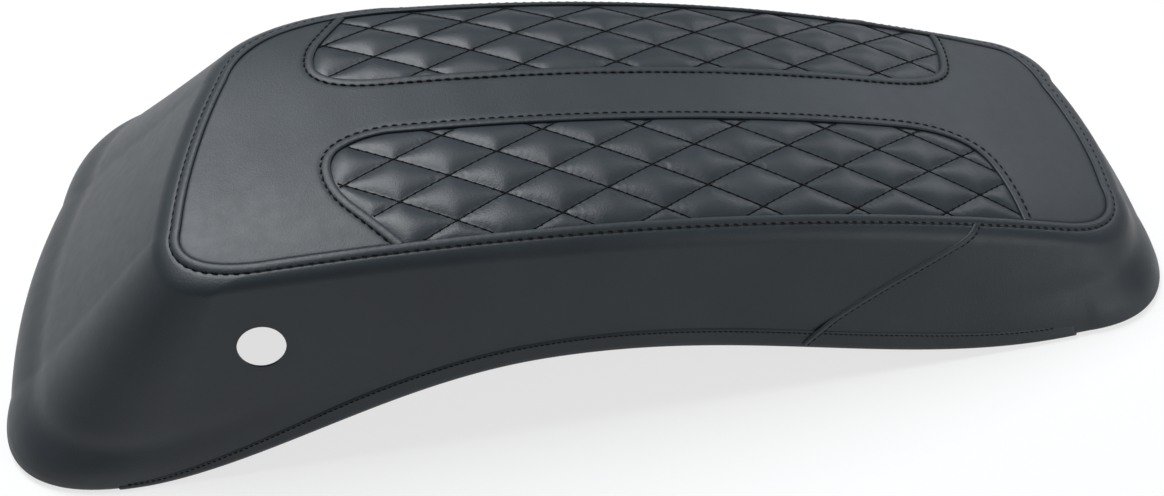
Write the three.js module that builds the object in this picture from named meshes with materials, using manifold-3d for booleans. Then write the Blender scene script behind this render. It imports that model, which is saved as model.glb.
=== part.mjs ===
// A quilted, padded lid of a hard motorcycle side case: a thin rigid shell with a fitted, sewn cover.
// Millimetres, +Z up. The lid stands on its rim at z = 0, its front end towards -X and its outboard
// side towards -Y. The origin is at the middle of the rim's plane.
import * as THREE from "three";
import { mergeVertices } from "three/addons/utils/BufferGeometryUtils.js";
import Module from "manifold-3d";

const wasm = await Module();
wasm.setup();

// ---- Driving dimensions -------------------------------------------------------------------------
const CREST_X = -174.5; // where the top is highest
const CREST_Z = 115; // height of the crest over the rim's plane
const REAR_RUN = 450; // from the crest to the rear end of the top
const REAR_DROP = 77.2; // how much lower the rear end of the top is
const DROP_POWER = 2.18;
const CROWN = 5; // how much lower the long edges are than the middle
const CROWN_HALF = 82;
const CROWN_POWER = 3.2;
const SHOULDER = 8.8; // reach of the rounded shoulder beyond the perimeter seam, square to it
const SHOULDER_DOWN = 7.5; // length of wall that the rounding takes
const SHOULDER_DIP = 0.8;

// Plan outlines, each with its corners in the order rear outboard, front outboard, front inboard and
// rear inboard. lead and tail are the lengths of side that a corner's curve takes before and after it.
const SEAM_CORNERS = [
  { x: 276, y: -75, lead: 33, tail: 40 },
  { x: -207, y: -88.5, lead: 48, tail: 27 },
  { x: -162, y: 94.5, lead: 57, tail: 95 },
  { x: 279, y: 77, lead: 21, tail: 35 },
];
const SEAM_BULGES = [1.2, 3, 4.7, 4]; // outward bow of the outboard, front, inboard and rear sides
const RIM_CORNERS = [
  { x: 310.5, y: -113, lead: 70, tail: 60 },
  { x: -315, y: -119.5, lead: 73, tail: 68 },
  { x: -273, y: 159, lead: 75, tail: 52 },
  { x: 305.5, y: 111, lead: 40, tail: 39 },
];
const RIM_BULGES = [4.5, 6, 0.5, 3];

// The rim's arch on both long sides: a rise between two feet, highest at its crown.
const ARCH = { front: -240, crown: -42, rear: 236, rise: 40, frontPower: 0.8 };

// Depths below the cover's outer surface, on the top and on the walls.
const GAP = 0.3;
const VINYL = 1.5;
const FACE_TOP = 0.6; // the quilted faces lie this much lower than the plain panel
const FOAM_TOP = 2.4;
const FOAM_BOTTOM = 7.6;
const BACKING_BOTTOM = 8.5;
const TAPE_OUT = 1.9;
const TAPE_IN = 3.0;
const SHELL_TOP = 9.3;
const SHELL_SIDE = 3.4;
const SHELL_WALL = 3.2;
const FLANGE = 8; // inward lip of the shell's rim
const FLANGE_THICK = 3;
const COVER_CLEAR = 1; // the cover's lower edge ends this far above the shell's rim

// The quilted inlays' plan outlines, from the front end round the inner edge to the rear end. The points
// are, in order: a line's start and end, the control and end of four curves with a line after the second,
// and the last line's end. Both end lines run out past the perimeter seam. frontEnd and rearEnd are where
// the welts and threads along them stop, measured across the lid.
const INLAYS = [
  {
    name: "outboard",
    side: -1,
    frontEnd: 78,
    rearEnd: 72,
    points: [
      [-88, -101],
      [-120.4, -61],
      [-130.2, -49],
      [-129.8, -35],
      [-129.5, -17.5],
      [-100, -13.6],
      [165, -13.3],
      [208, -14],
      [213, -40],
      [215.8, -53],
      [216, -70],
      [216.3, -100],
    ],
  },
  {
    name: "inboard",
    side: 1,
    frontEnd: 77,
    rearEnd: 76,
    points: [
      [-106, 100],
      [-127, 63.5],
      [-132.5, 53.5],
      [-132, 44],
      [-131.5, 27.5],
      [-100, 26.2],
      [168, 26.8],
      [208, 27],
      [214.5, 46],
      [219, 58],
      [221, 75],
      [221.5, 100],
    ],
  },
];

const LOCK_HOLE = { x: -171, y: -100.2, z: 70.2, radius: 11.3, shellRadius: 14, tilt: -16 };

// The slanted seam between the front and the rear skirt, as x and z from its top to its foot.
const SLANT = [
  [196, 66],
  [186, 63],
  [173.6, 59.5],
  [160.3, 55.2],
  [146.1, 50.5],
  [131.8, 45.8],
  [119.4, 40.7],
  [106.9, 34.9],
  [93.2, 26.8],
  [82, 17],
  [62, -6],
];
const SLANT_TOP = 59; // heights between which its welt and thread show
const SLANT_FOOT = 33;

const LAID = 0.5; // height of the welts and threads over the cover
const WELT_WIDTH = 2.6;
const WELT_HEIGHT = 1;
const THREAD = 0.35; // radius
const SEAM_TO_WELT = 2 * GAP + WELT_WIDTH / 2; // from a seam to the middle of the welt beside it
const SEAM_TO_THREAD = 2 * GAP + WELT_WIDTH + 0.6;
const SLANT_WELT = 1.7; // distances of the slanted seam's welt and thread behind it
const SLANT_THREAD = 4.6;
const HEM_WIDTH = 8;
const HEM_THICK = 1;
const HEM_STITCH = 2; // from the hem's upper edge to its stitches
const TAPE_TOP = 18; // heights of the bonding tape's edges over the rim
const TAPE_FOOT = 4;
const SEAL_WIDTH = 5;
const SEAL_HEIGHT = 6;

// ---- Materials ----------------------------------------------------------------------------------
const material = (color, roughness) =>
  new THREE.MeshStandardMaterial({ color, roughness, metalness: 0 });
const vinyl = material(0x2f3539, 0.5);
const quiltVinyl = material(0x343a3f, 0.45);
const thread = material(0x0b0c0d, 0.7);
const foam = material(0x8d8a80, 0.95);
const scrim = material(0x5a5a58, 0.95);
const shellPlastic = material(0x17181a, 0.4);
const rubber = material(0x111111, 0.8);
const tape = material(0xb9b7ad, 0.8);

// ---- Fineness -----------------------------------------------------------------------------------
const CURVE_STEPS = 5; // chords in each curve of an inlay's outline
const LONGEST = 24; // longest chord along a seam
const LINE_STEPS = 120; // places looked at along the slanted seam
const HALVINGS = 24; // of a range in which a point is sought

// ---- Form ---------------------------------------------------------------------------------------
function topHeight(x, y) {
  const fall = REAR_DROP * (Math.abs(x - CREST_X) / REAR_RUN) ** DROP_POWER;
  return CREST_Z - fall - CROWN * (Math.abs(y) / CROWN_HALF) ** CROWN_POWER;
}

// An outline as eight curves: a side, then the corner at its end, for each of the four sides.
function outline(corners, bulges) {
  const points = corners.map((c) => new THREE.Vector2(c.x, c.y));
  const along = (from, to, length) =>
    to.clone().sub(from).setLength(length).add(from);
  const curves = [];
  corners.forEach((corner, i) => {
    const next = (i + 1) % 4;
    const after = (i + 2) % 4;
    const start = along(points[i], points[next], corner.tail);
    const end = along(points[next], points[i], corners[next].lead);
    const side = end.clone().sub(start);
    const outward = new THREE.Vector2(-side.y, side.x).setLength(1);
    const control = start.clone().add(end).multiplyScalar(0.5);
    control.addScaledVector(outward, 2 * bulges[i]);
    const exit = along(points[next], points[after], corners[next].tail);
    curves.push(new THREE.QuadraticBezierCurve(start, control, end));
    curves.push(new THREE.QuadraticBezierCurve(end, points[next], exit));
  });
  return curves;
}
const SEAM = outline(SEAM_CORNERS, SEAM_BULGES);
const RIM = outline(RIM_CORNERS, RIM_BULGES);

// Stations round an outline: { curve, t } with a given number of steps on each of the eight curves.
function stations(steps) {
  return steps.flatMap((count, curve) =>
    Array.from({ length: count }, (_, k) => ({ curve, t: k / count })),
  );
}
const ROUND = stations([12, 7, 7, 7, 12, 6, 5, 6]);

function archHeight(x) {
  const { front, crown, rear, rise, frontPower } = ARCH;
  if (x <= front || x >= rear) return 0;
  const share = x < crown ? (x - front) / (crown - front) : (rear - x) / (rear - crown);
  return rise * (0.5 - 0.5 * Math.cos(Math.PI * share)) ** (x < crown ? frontPower : 1);
}

// The wall's section at a station, a given depth inside the cover's outer surface. at(w) follows it
// from the perimeter seam (0) over the shoulder (1) down to the rim's plane (2).
function section({ curve, t }, deepTop, deepSide) {
  const seam = SEAM[curve].getPoint(t);
  const rim = RIM[curve].getPoint(t);
  const out = rim.clone().sub(seam).normalize();
  const height = topHeight(seam.x, seam.y) - deepTop;
  const start = new THREE.Vector3(seam.x, seam.y, height);
  const square = Math.abs(SEAM[curve].getTangent(t).cross(out));
  const knee = seam.clone().addScaledVector(out, SHOULDER / square - deepSide);
  const corner = new THREE.Vector3(knee.x, knee.y, height - SHOULDER_DIP);
  const base = rim.clone().addScaledVector(out, -deepSide);
  const foot = new THREE.Vector3(base.x, base.y, 0);
  const turn = foot.clone().sub(corner).setLength(SHOULDER_DOWN).add(corner);
  const shoulder = new THREE.QuadraticBezierCurve3(start, corner, turn);
  const wall = new THREE.LineCurve3(turn, foot);
  const at = (w) => (w <= 1 ? shoulder.getPoint(w) : wall.getPoint(w - 1));
  // where the section reaches the arched rim, raised by lift
  const reach = (lift) => {
    let w = 2;
    for (let k = 0; k < 4; k++) {
      const z = archHeight(at(w).x) + lift;
      w = 1 + (turn.z - z) / turn.z;
    }
    return w;
  };
  return { at, reach, out };
}

// The point of the outer surface on one long side at a given x and z.
function sidePoint(side, x, z) {
  const curve = side < 0 ? 0 : 4;
  let low = 0;
  let high = 1;
  let point;
  for (let k = 0; k < HALVINGS; k++) {
    const t = (low + high) / 2;
    const wall = section({ curve, t }, 0, 0);
    let upper = 0;
    let lower = 2.4;
    for (let n = 0; n < HALVINGS; n++) {
      const w = (upper + lower) / 2;
      point = wall.at(w);
      if (point.z > z) upper = w;
      else lower = w;
    }
    const forward = side < 0 ? point.x > x : point.x < x;
    if (forward) low = t;
    else high = t;
  }
  return point;
}

// ---- Solids -------------------------------------------------------------------------------------
// A closed solid between two grids of points. around says that the rows close on themselves, and pole
// that each grid's first column is a single point.
function slab(outer, inner, around = false, pole = false) {
  const rows = outer.length;
  const columns = outer[0].length;
  const positions = [...outer.flat(), ...inner.flat()].flatMap((p) => [p.x, p.y, p.z]);
  const index = [];
  const id = (layer, i, j) => layer * rows * columns + (i % rows) * columns + j;
  const quad = (a, b, c, d) => index.push(a, c, b, a, d, c);
  const lastRow = around ? rows : rows - 1;
  for (let i = 0; i < lastRow; i++) {
    for (let j = 0; j < columns - 1; j++) {
      quad(id(0, i, j), id(0, i, j + 1), id(0, i + 1, j + 1), id(0, i + 1, j));
      quad(id(1, i, j), id(1, i + 1, j), id(1, i + 1, j + 1), id(1, i, j + 1));
    }
    const end = columns - 1;
    quad(id(0, i, end), id(1, i, end), id(1, i + 1, end), id(0, i + 1, end));
    if (!pole) quad(id(0, i, 0), id(0, i + 1, 0), id(1, i + 1, 0), id(1, i, 0));
  }
  if (!around) {
    const end = rows - 1;
    for (let j = 0; j < columns - 1; j++) {
      quad(id(0, 0, j), id(1, 0, j), id(1, 0, j + 1), id(0, 0, j + 1));
      quad(id(0, end, j), id(0, end, j + 1), id(1, end, j + 1), id(1, end, j));
    }
  }
  const geometry = new THREE.BufferGeometry();
  geometry.setAttribute("position", new THREE.Float32BufferAttribute(positions, 3));
  geometry.setIndex(index);
  return geometry;
}

// A solid through rings of points, each one section. Its faces are turned outwards at the end, so a
// section may run either way round.
function swept(rings, around = false) {
  const count = rings[0].length;
  const points = rings.flat();
  const faces = [];
  const id = (i, j) => (i % rings.length) * count + (j % count);
  const lastRow = around ? rings.length : rings.length - 1;
  for (let i = 0; i < lastRow; i++) {
    for (let j = 0; j < count; j++) {
      faces.push([id(i, j), id(i + 1, j), id(i + 1, j + 1)]);
      faces.push([id(i, j), id(i + 1, j + 1), id(i, j + 1)]);
    }
  }
  if (!around) {
    const end = rings.length - 1;
    for (let j = 1; j < count - 1; j++) {
      faces.push([id(0, 0), id(0, j), id(0, j + 1)]);
      faces.push([id(end, 0), id(end, j + 1), id(end, j)]);
    }
  }
  const volume = ([a, b, c]) => points[a].dot(points[b].clone().cross(points[c]));
  const outward = faces.reduce((sum, face) => sum + volume(face), 0) > 0;
  const geometry = new THREE.BufferGeometry();
  const positions = points.flatMap((p) => [p.x, p.y, p.z]);
  geometry.setAttribute("position", new THREE.Float32BufferAttribute(positions, 3));
  geometry.setIndex(faces.flatMap((face) => (outward ? face : [...face].reverse())));
  return geometry;
}

function solid(geometry) {
  const bare = geometry.clone();
  bare.deleteAttribute("normal");
  bare.deleteAttribute("uv");
  const merged = mergeVertices(bare, 1e-4);
  const made = new wasm.Manifold(
    new wasm.Mesh({
      numProp: 3,
      vertProperties: new Float32Array(merged.attributes.position.array),
      triVerts: new Uint32Array(merged.index.array),
    }),
  );
  if (made.volume() < 0) throw new Error("a solid is inside out");
  return made;
}

function geometryOf(body) {
  const mesh = body.getMesh();
  const geometry = new THREE.BufferGeometry();
  geometry.setAttribute("position", new THREE.BufferAttribute(mesh.vertProperties, 3));
  geometry.setIndex(new THREE.BufferAttribute(mesh.triVerts, 1));
  geometry.computeVertexNormals();
  return geometry;
}

const lid = new THREE.Group();
function add(name, geometry, look) {
  const mesh = new THREE.Mesh(geometry, look);
  mesh.name = name;
  lid.add(mesh);
}

// A loop of plan points moved outward by a distance (inward where it is negative).
function grown(loop, distance) {
  const area = THREE.ShapeUtils.area(loop);
  const turn = area > 0 ? 1 : -1;
  return loop.map((point, i) => {
    const before = loop[(i + loop.length - 1) % loop.length];
    const after = loop[(i + 1) % loop.length];
    const way = after.clone().sub(before).normalize();
    return new THREE.Vector2(point.x + way.y * turn * distance, point.y - way.x * turn * distance);
  });
}

// A tall prism over a plan outline.
function prism(loop) {
  const geometry = new THREE.ExtrudeGeometry(new THREE.Shape(loop), { depth: 200, bevelEnabled: false });
  return solid(geometry);
}

// A sheet that follows the top between two depths, larger than the perimeter seam's outline.
const TOP_FIELD = { front: -218, rear: 292, side: 100 };
function topLayer(from, to) {
  const across = 8;
  const along = 18;
  const grid = (depth) =>
    Array.from({ length: along + 1 }, (_, i) =>
      Array.from({ length: across + 1 }, (_, j) => {
        const x = TOP_FIELD.front + ((TOP_FIELD.rear - TOP_FIELD.front) * i) / along;
        const y = TOP_FIELD.side * (1 - (2 * j) / across);
        return new THREE.Vector3(x, y, topHeight(x, y) - depth);
      }),
    );
  return solid(slab(grid(to), grid(from)));
}

const seamLoop = ROUND.map(({ curve, t }) => SEAM[curve].getPoint(t));

// A path with its long stretches divided.
function divided(points, longest) {
  return points.flatMap((p, i) => {
    if (i === points.length - 1) return [p];
    const parts = Math.ceil(p.distanceTo(points[i + 1]) / longest);
    return Array.from({ length: parts }, (_, k) => p.clone().lerp(points[i + 1], k / parts));
  });
}

// One inlay's outline, between its two ends' distances from the lid's middle.
function inlayPath({ points }, frontEnd, rearEnd) {
  const p = points.map(([x, y]) => new THREE.Vector2(x, y));
  const along = (from, to, end) => {
    const inner = Math.abs(from.y);
    return from.clone().lerp(to, (end - inner) / (Math.abs(to.y) - inner));
  };
  const front = along(p[1], p[0], frontEnd);
  const rear = along(p[10], p[11], rearEnd);
  const path = new THREE.Path([front, p[1]]);
  path.currentPoint.copy(p[1]);
  path.quadraticCurveTo(p[2].x, p[2].y, p[3].x, p[3].y);
  path.quadraticCurveTo(p[4].x, p[4].y, p[5].x, p[5].y);
  path.lineTo(p[6].x, p[6].y);
  path.quadraticCurveTo(p[7].x, p[7].y, p[8].x, p[8].y);
  path.quadraticCurveTo(p[9].x, p[9].y, p[10].x, p[10].y);
  path.lineTo(rear.x, rear.y);
  return divided(path.getPoints(CURVE_STEPS), LONGEST);
}
const PAST_SEAM = 100; // the loops that cut the layers run this far out
const inlays = INLAYS.map((inlay) => ({ ...inlay, loop: inlayPath(inlay, PAST_SEAM, PAST_SEAM) }));

// ---- Rigid shell and its seal -------------------------------------------------------------------
const TOP_RINGS = [0, 0.2, 0.4, 0.6, 0.8, 1];
const HEART = new THREE.Vector2(20, 0); // where the top's rings close

function shellSkin(station, depth) {
  const wall = section(station, SHELL_TOP + depth, SHELL_SIDE + depth);
  const seam = SEAM[station.curve].getPoint(station.t);
  const top = TOP_RINGS.map((share) => {
    const p = HEART.clone().lerp(seam, share);
    return new THREE.Vector3(p.x, p.y, topHeight(p.x, p.y) - SHELL_TOP - depth);
  });
  const lift = depth > 0 ? FLANGE_THICK : 0;
  const low = wall.at(wall.reach(lift));
  const middle = wall.at((1 + wall.reach(lift)) / 2);
  const lip = low.clone();
  const inward = FLANGE + (depth > 0 ? 0 : SHELL_WALL);
  lip.x -= wall.out.x * inward;
  lip.y -= wall.out.y * inward;
  lip.z = low.z;
  return [...top, wall.at(0.35), wall.at(0.7), wall.at(1), middle, low, lip];
}

function lockHole(radius, length) {
  const cylinder = new THREE.CylinderGeometry(radius, radius, length, 28);
  cylinder.rotateX(THREE.MathUtils.degToRad(LOCK_HOLE.tilt));
  cylinder.translate(LOCK_HOLE.x, LOCK_HOLE.y, LOCK_HOLE.z);
  return solid(cylinder);
}

function lidShell() {
  const outer = ROUND.map((station) => shellSkin(station, 0));
  const inner = ROUND.map((station) => shellSkin(station, SHELL_WALL));
  const body = solid(slab(outer, inner, true, true));
  return geometryOf(body.subtract(lockHole(LOCK_HOLE.shellRadius, 60)));
}
add("lid_shell", lidShell(), shellPlastic);

function rimSeal() {
  const rings = ROUND.map((station) => {
    const wall = section(station, SHELL_TOP + SHELL_WALL, SHELL_SIDE + SHELL_WALL + 2 * GAP);
    const low = wall.at(wall.reach(FLANGE_THICK + 2 * GAP));
    const high = wall.at(wall.reach(FLANGE_THICK + 2 * GAP + SEAL_HEIGHT));
    const inward = (p, by) => new THREE.Vector3(p.x - wall.out.x * by, p.y - wall.out.y * by, p.z);
    return [inward(low, GAP), inward(low, SEAL_WIDTH), inward(high, SEAL_WIDTH), inward(high, GAP)];
  });
  return swept(rings, true);
}
add("rim_seal", rimSeal(), rubber);

// ---- Padding, under the top of the cover --------------------------------------------------------
const seamPrism = (distance) => prism(grown(seamLoop, distance));
const inlayPrism = (inlay, distance) => prism(grown(inlay.loop, distance));

function plainLayer(from, to, inset) {
  let layer = topLayer(from, to).intersect(seamPrism(-inset));
  for (const inlay of inlays) layer = layer.subtract(inlayPrism(inlay, GAP));
  return geometryOf(layer);
}

function inlayLayer(inlay, from, to, inset) {
  const region = inlayPrism(inlay, 0).intersect(seamPrism(-inset));
  return geometryOf(topLayer(from, to).intersect(region));
}

add("centre_foam", plainLayer(VINYL + GAP, BACKING_BOTTOM, 1.5), foam);
for (const inlay of inlays) {
  const backingTop = FOAM_BOTTOM + GAP;
  add(inlay.name + "_quilt_foam", inlayLayer(inlay, FOAM_TOP, FOAM_BOTTOM, 1.5), foam);
  add(inlay.name + "_quilt_backing", inlayLayer(inlay, backingTop, BACKING_BOTTOM, 1.5), scrim);
  add(inlay.name + "_quilt_face", inlayLayer(inlay, FACE_TOP, FOAM_TOP - GAP, GAP), quiltVinyl);
}
add("top_panel", plainLayer(0, VINYL, GAP), vinyl);

// ---- Skirts -------------------------------------------------------------------------------------
const STRAIGHT = [0.25, 0.5, 0.75, 1]; // rows down the straight part of a wall

function skirtSkin(station, deepTop, deepSide) {
  const wall = section(station, deepTop, deepSide);
  const end = wall.reach(COVER_CLEAR);
  const straight = STRAIGHT.map((share) => wall.at(1 + (end - 1) * share));
  return [wall.at(0), wall.at(0.35), wall.at(0.7), wall.at(1), ...straight];
}

// The region behind the slanted seam, as a prism across both sides, moved back by a distance.
const BEYOND = 400;
function behindSlant(distance) {
  const line = SLANT.map(([x, z]) => new THREE.Vector2(x + distance, z));
  const loop = [...line, new THREE.Vector2(BEYOND, -6), new THREE.Vector2(BEYOND, 84)];
  const shape = new THREE.Shape(loop);
  const geometry = new THREE.ExtrudeGeometry(shape, { depth: 2 * BEYOND, bevelEnabled: false });
  geometry.rotateX(Math.PI / 2);
  geometry.translate(0, BEYOND, 0);
  return solid(geometry);
}

function skirts() {
  const outer = ROUND.map((station) => skirtSkin(station, 0, 0));
  const inner = ROUND.map((station) => skirtSkin(station, VINYL, VINYL));
  const whole = solid(slab(outer, inner, true));
  const front = whole.subtract(behindSlant(-GAP)).subtract(lockHole(LOCK_HOLE.radius, 60));
  const rear = whole.intersect(behindSlant(0));
  add("front_skirt", geometryOf(front), vinyl);
  add("rear_skirt", geometryOf(rear), vinyl);
}
skirts();

// Bonding tape between the skirts and the shell, round the front and the rear of the rim.
// It runs over three curves of the outline, from the middle of the first to the middle of the third.
function bondTape([first, side, last]) {
  const run = ROUND.filter(
    ({ curve, t }) => curve === side || (curve === first && t >= 0.5) || (curve === last && t <= 0.5),
  );
  const skin = (depth) =>
    run.map((station) => {
      const wall = section(station, depth, depth);
      return [wall.at(wall.reach(TAPE_TOP)), wall.at(wall.reach(TAPE_FOOT))];
    });
  return geometryOf(solid(slab(skin(TAPE_OUT), skin(TAPE_IN))));
}
add("front_bond_tape", bondTape([1, 2, 3]), tape);
add("rear_bond_tape", bondTape([5, 6, 7]), tape);

// ---- Welts, hems and threads, laid on the cover -------------------------------------------------
const WELT_PROFILE = [
  [-0.5, 0],
  [0.5, 0],
  [0.34, 0.8],
  [0, 1],
  [-0.34, 0.8],
];
const THREAD_PROFILE = [
  [-0.5, 0],
  [0.5, 0],
  [0, 1],
];

// A strip laid on the cover along frames of { point, across, normal }, at a height above the cover.
function strip(frames, profile, width, height, around = false, above = LAID) {
  const rings = frames.map(({ point, across, normal }) =>
    profile.map(([side, up]) =>
      point
        .clone()
        .addScaledVector(across, side * width)
        .addScaledVector(normal, above + up * height),
    ),
  );
  return swept(rings, around);
}
const welt = (frames, around) => strip(frames, WELT_PROFILE, WELT_WIDTH, WELT_HEIGHT, around);
const threadLine = (frames, around, above) =>
  strip(frames, THREAD_PROFILE, 2 * THREAD, 2 * THREAD, around, above);

// Frames round the perimeter at a distance outside its seam, measured square to it.
function perimeterFrames(distance) {
  return ROUND.map((station) => {
    const { at } = section(station, 0, 0);
    const ahead = SEAM[station.curve].getTangent(station.t);
    const along = new THREE.Vector3(ahead.x, ahead.y, 0);
    let low = 0;
    let high = 1;
    for (let k = 0; k < HALVINGS; k++) {
      const share = (low + high) / 2;
      const off = at(share).sub(at(0));
      if (off.addScaledVector(along, -off.dot(along)).length() < distance) low = share;
      else high = share;
    }
    const share = (low + high) / 2;
    const down = at(share + 0.05).sub(at(share - 0.05));
    const normal = along.clone().cross(down).normalize();
    const across = normal.clone().cross(along).normalize();
    return { point: at(share), across, normal };
  });
}
add("perimeter_welt", welt(perimeterFrames(SEAM_TO_WELT), true), vinyl);
add("perimeter_thread", threadLine(perimeterFrames(SEAM_TO_THREAD), true), thread);

// Frames on the top along an open plan path moved outward by a distance.
function topFrames(path, outward) {
  return path.map((p, i) => {
    const before = path[Math.max(i - 1, 0)];
    const after = path[Math.min(i + 1, path.length - 1)];
    const way = after.clone().sub(before).normalize();
    const x = p.x + way.y * outward;
    const y = p.y - way.x * outward;
    const point = new THREE.Vector3(x, y, topHeight(x, y));
    const slopeX = (topHeight(x + 1, y) - topHeight(x - 1, y)) / 2;
    const slopeY = (topHeight(x, y + 1) - topHeight(x, y - 1)) / 2;
    const normal = new THREE.Vector3(-slopeX, -slopeY, 1).normalize();
    const across = new THREE.Vector3(way.y, -way.x, slopeX * way.y - slopeY * way.x).normalize();
    return { point, across, normal };
  });
}
for (const inlay of inlays) {
  const { name, side } = inlay;
  const path = inlayPath(inlay, inlay.frontEnd, inlay.rearEnd);
  add(name + "_inlay_welt", welt(topFrames(path, side * SEAM_TO_WELT)), vinyl);
  add(name + "_inlay_thread", threadLine(topFrames(path, side * SEAM_TO_THREAD)), thread);
}

// Frames down the slanted seam on one long side, a distance behind it.
function slantFrames(side, back) {
  const steps = 8;
  const line = new THREE.SplineCurve(SLANT.map(([x, z]) => new THREE.Vector2(x, z)));
  const shares = Array.from({ length: LINE_STEPS + 1 }, (_, k) => k / LINE_STEPS);
  const shown = shares.filter((t) => line.getPoint(t).y < SLANT_TOP && line.getPoint(t).y > SLANT_FOOT);
  const points = Array.from({ length: steps + 1 }, (_, k) => {
    const t = shown[Math.round((k * (shown.length - 1)) / steps)];
    const p = line.getPoint(t);
    const way = line.getTangent(t);
    return sidePoint(side, p.x - way.y * back, p.y + way.x * back);
  });
  return points.map((point, k) => {
    const ahead = points[Math.min(k + 1, steps)].clone().sub(points[Math.max(k - 1, 0)]).normalize();
    const level = sidePoint(side, point.x + 2, point.z).sub(point);
    const normal = level.cross(ahead).normalize();
    if (normal.y * side < 0) normal.negate();
    return { point, across: ahead.clone().cross(normal), normal };
  });
}

// The stations of one long side, with the first of the next corner.
function longSide(side) {
  const curve = side < 0 ? 0 : 4;
  return [...ROUND.filter((station) => station.curve === curve), { curve: curve + 1, t: 0 }];
}

// A turned hem along one long side's arch, laid on the skirt.
function hem(side) {
  const skin = (depth) =>
    longSide(side).map((station) => {
      const wall = section(station, -depth, -depth);
      return [wall.at(wall.reach(COVER_CLEAR + HEM_WIDTH)), wall.at(wall.reach(COVER_CLEAR))];
    });
  return geometryOf(solid(slab(skin(GAP + HEM_THICK), skin(GAP))));
}

// Frames along the hem's stitch line.
function hemFrames(side) {
  return longSide(side).map((station) => {
    const wall = section(station, 0, 0);
    const share = wall.reach(COVER_CLEAR + HEM_WIDTH - HEM_STITCH);
    const point = wall.at(share);
    const across = wall.at(share + 0.02).sub(point).normalize();
    const normal = new THREE.Vector3(-1, 0, 0).cross(across).normalize();
    if (normal.y * side < 0) normal.negate();
    return { point, across, normal };
  });
}

for (const { name, side } of INLAYS) {
  add(name + "_slant_welt", welt(slantFrames(side, SLANT_WELT)), vinyl);
  add(name + "_slant_thread", threadLine(slantFrames(side, SLANT_THREAD)), thread);
  add(name + "_hem", hem(side), vinyl);
  add(name + "_hem_thread", threadLine(hemFrames(side), false, HEM_THICK + 2 * GAP), thread);
}

// The working axes pass through the seam's outline; the finished lid is set on the middle of its footprint.
const FOOTPRINT_MIDDLE = { x: 2.5, y: 17.03 };
lid.position.set(-FOOTPRINT_MIDDLE.x, -FOOTPRINT_MIDDLE.y, 0);

export default lid;
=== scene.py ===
import math

import bpy
import numpy as np
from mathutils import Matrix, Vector
from mathutils.geometry import delaunay_2d_cdt


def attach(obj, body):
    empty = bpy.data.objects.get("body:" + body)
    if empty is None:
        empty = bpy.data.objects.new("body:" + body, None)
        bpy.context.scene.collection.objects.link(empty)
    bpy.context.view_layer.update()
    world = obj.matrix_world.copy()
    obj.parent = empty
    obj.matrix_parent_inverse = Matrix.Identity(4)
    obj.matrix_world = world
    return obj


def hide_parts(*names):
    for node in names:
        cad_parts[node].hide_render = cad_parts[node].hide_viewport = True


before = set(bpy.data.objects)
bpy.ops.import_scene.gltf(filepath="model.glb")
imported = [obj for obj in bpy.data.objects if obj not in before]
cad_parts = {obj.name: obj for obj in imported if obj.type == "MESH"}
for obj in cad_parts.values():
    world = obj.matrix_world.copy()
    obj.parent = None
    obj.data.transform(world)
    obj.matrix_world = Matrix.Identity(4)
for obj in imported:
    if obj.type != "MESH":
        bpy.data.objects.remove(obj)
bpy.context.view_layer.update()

MM = 0.001

# ---- Driving dimensions, in millimetres, as the CAD model has them ------------------------------
FOOTPRINT_MIDDLE = np.array([2.5, 17.03, 0.0])  # the frame's origin, in the form's working axes
CREST_X = -174.5
CREST_Z = 115.0
REAR_RUN = 450.0
REAR_DROP = 77.2
DROP_POWER = 2.18
CROWN = 5.0
CROWN_HALF = 82.0
CROWN_POWER = 3.2
SHOULDER = 8.8
SHOULDER_DOWN = 7.5
SHOULDER_DIP = 0.8
CURVES = 8  # in an outline: four sides and four corners
SEAM_CORNERS = [(276, -75, 33, 40), (-207, -88.5, 48, 27), (-162, 94.5, 57, 95), (279, 77, 21, 35)]
SEAM_BULGES = [1.2, 3, 4.7, 4]
RIM_CORNERS = [(310.5, -113, 70, 60), (-315, -119.5, 73, 68), (-273, 159, 75, 52), (305.5, 111, 40, 39)]
RIM_BULGES = [4.5, 6, 0.5, 3]
ARCH_FRONT = -240.0
ARCH_CROWN = -42.0
ARCH_REAR = 236.0
ARCH_RISE = 40.0
ARCH_FRONT_POWER = 0.8
VINYL = 1.4
SHELL_TOP = 9.3
SHELL_SIDE = 3.4
SHELL_WALL = 3.2
FLANGE = 8.0
FLANGE_THICK = 3.0
COVER_CLEAR = 1.0
GAP = 0.3
INLAY_POINTS = {
    -1: [(-88, -101), (-120.4, -61), (-130.2, -49), (-129.8, -35), (-129.5, -17.5), (-100, -13.6),
         (165, -13.3), (208, -14), (213, -40), (215.8, -53), (216, -70), (216.3, -100)],
    1: [(-106, 100), (-127, 63.5), (-132.5, 53.5), (-132, 44), (-131.5, 27.5), (-100, 26.2),
        (168, 26.8), (208, 27), (214.5, 46), (219, 58), (221, 75), (221.5, 100)],
}
SIDE_NAME = {-1: "outboard", 1: "inboard"}
LOCK_HOLE = np.array([-171.0, -100.2, 70.2])
LOCK_RADIUS = 11.3
LOCK_SHELL_RADIUS = 14.0
LOCK_TILT = 16.0
CUTTER_LENGTH = 60.0
SLANT = [(-6, 62), (17, 82), (26.8, 93.2), (34.9, 106.9), (40.7, 119.4), (45.8, 131.8), (50.5, 146.1),
         (55.2, 160.3), (59.5, 173.6), (63, 186), (66, 196)]  # z and x
SLANT_FIT = np.polyfit(*np.array(SLANT, float).T, 5)
WELT_WIDTH = 2.6
WELT_HEIGHT = 0.85
SEAL_WIDTH = 5.0
SEAL_HEIGHT = 6.0
HEM_WIDTH = 8.0
HEM_THICK = 0.35
HEM_DROP = 0.8  # how far the hem reaches below the skirt's own edge
HEM_SPAN = {-1: (0.02, 1.06), 1: (3.94, 4.98)}  # where it runs, in the outline's units
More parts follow.
